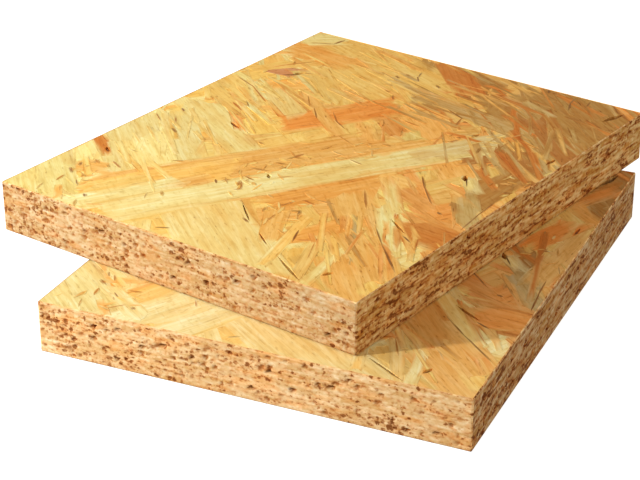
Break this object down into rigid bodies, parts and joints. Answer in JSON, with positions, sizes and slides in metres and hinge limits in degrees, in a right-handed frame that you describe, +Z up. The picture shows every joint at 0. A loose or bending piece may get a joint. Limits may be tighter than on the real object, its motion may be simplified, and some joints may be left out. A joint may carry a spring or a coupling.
{
  "type": "stack of osb panels",
  "caption": "Stack of sawn oriented strand board panels, the upper one laid flat and turned on the lower, with strand gaps, a knot hole and pitted edges.",
  "frame": {"origin": "middle of the lower panel's underside, on the floor", "axes": "+Z up, +X across the lower panel's width, +Y along its length, away from the picture's viewer"},
  "size_m": [0.1818, 0.2152, 0.036],
  "materials": {
    "osb": "unsanded pressed strands, sawn edges"
  },
  "bodies": {
    "root": {"lower_panel": "osb", "upper_panel": "osb"}
  },
  "joints": []
}
